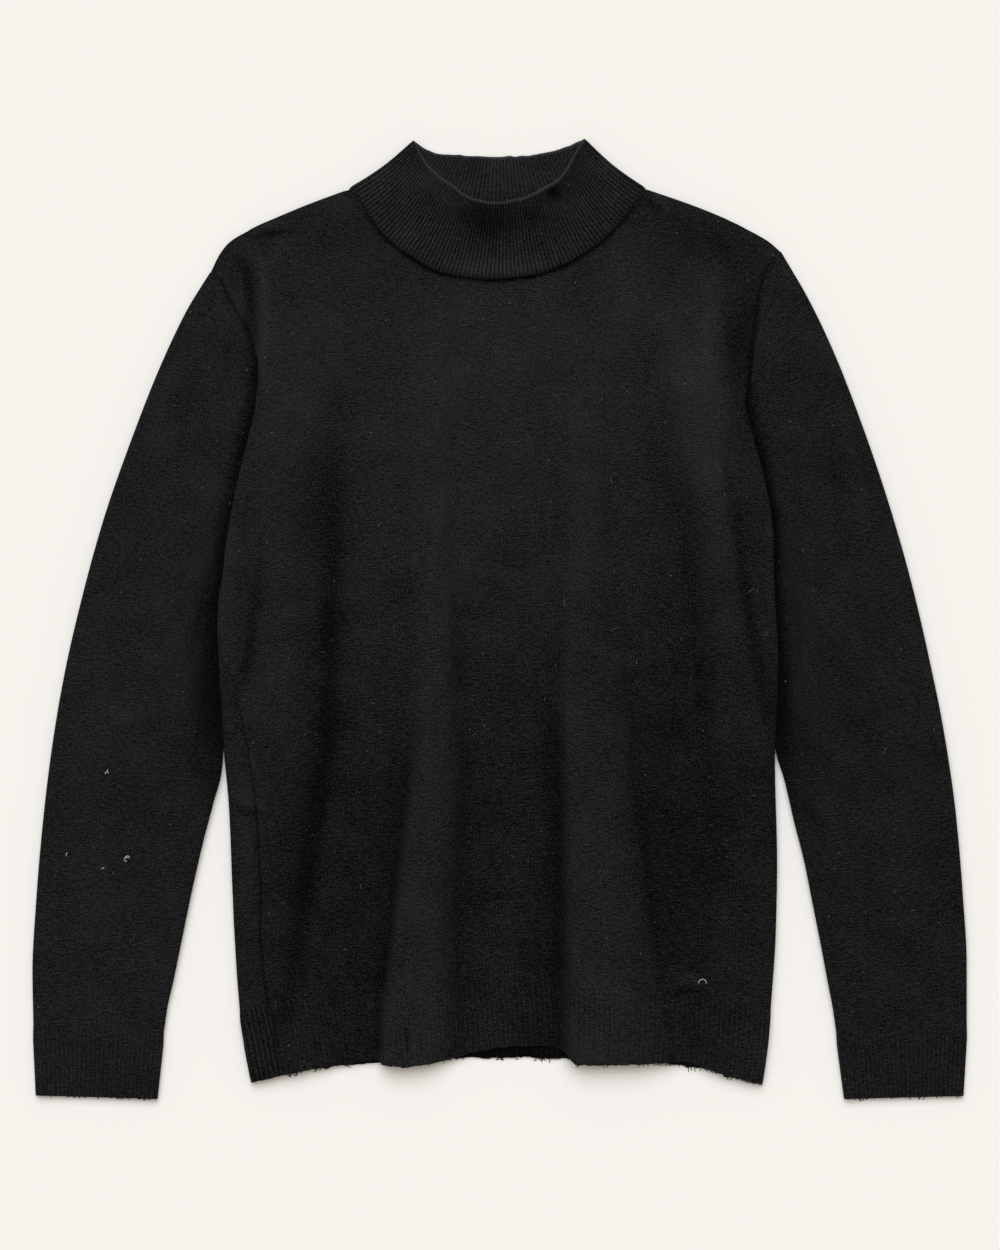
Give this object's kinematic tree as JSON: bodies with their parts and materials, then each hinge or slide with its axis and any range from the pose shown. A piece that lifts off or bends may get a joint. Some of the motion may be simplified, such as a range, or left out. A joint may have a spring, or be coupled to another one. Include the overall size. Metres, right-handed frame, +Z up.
{
  "type": "turtleneck sweater",
  "caption": "Fine-knit pullover laid flat: short turtleneck in rib, long set-in sleeves beside the body, rib cuffs and a rib hem with two soft folds.",
  "frame": {"origin": "middle of the sweater's outline, on the surface it lies on", "axes": "+Z up out of the surface, +Y towards the collar, +X towards the wearer's left sleeve"},
  "size_m": [0.728, 0.748, 0.016],
  "materials": {
    "front_panel": "black fine jersey knit",
    "back_panel": "black fine jersey knit",
    "sleeve_right": "black fine jersey knit",
    "sleeve_left": "black fine jersey knit",
    "front_hem_rib": "black rib knit",
    "back_hem_rib": "black rib knit",
    "cuff_right": "black rib knit",
    "cuff_left": "black rib knit",
    "collar": "black rib knit"
  },
  "bodies": {
    "root": {"front_panel": "front_panel", "back_panel": "back_panel", "sleeve_right": "sleeve_right", "sleeve_left": "sleeve_left", "front_hem_rib": "front_hem_rib", "back_hem_rib": "back_hem_rib", "cuff_right": "cuff_right", "cuff_left": "cuff_left", "collar": "collar"}
  },
  "joints": []
}
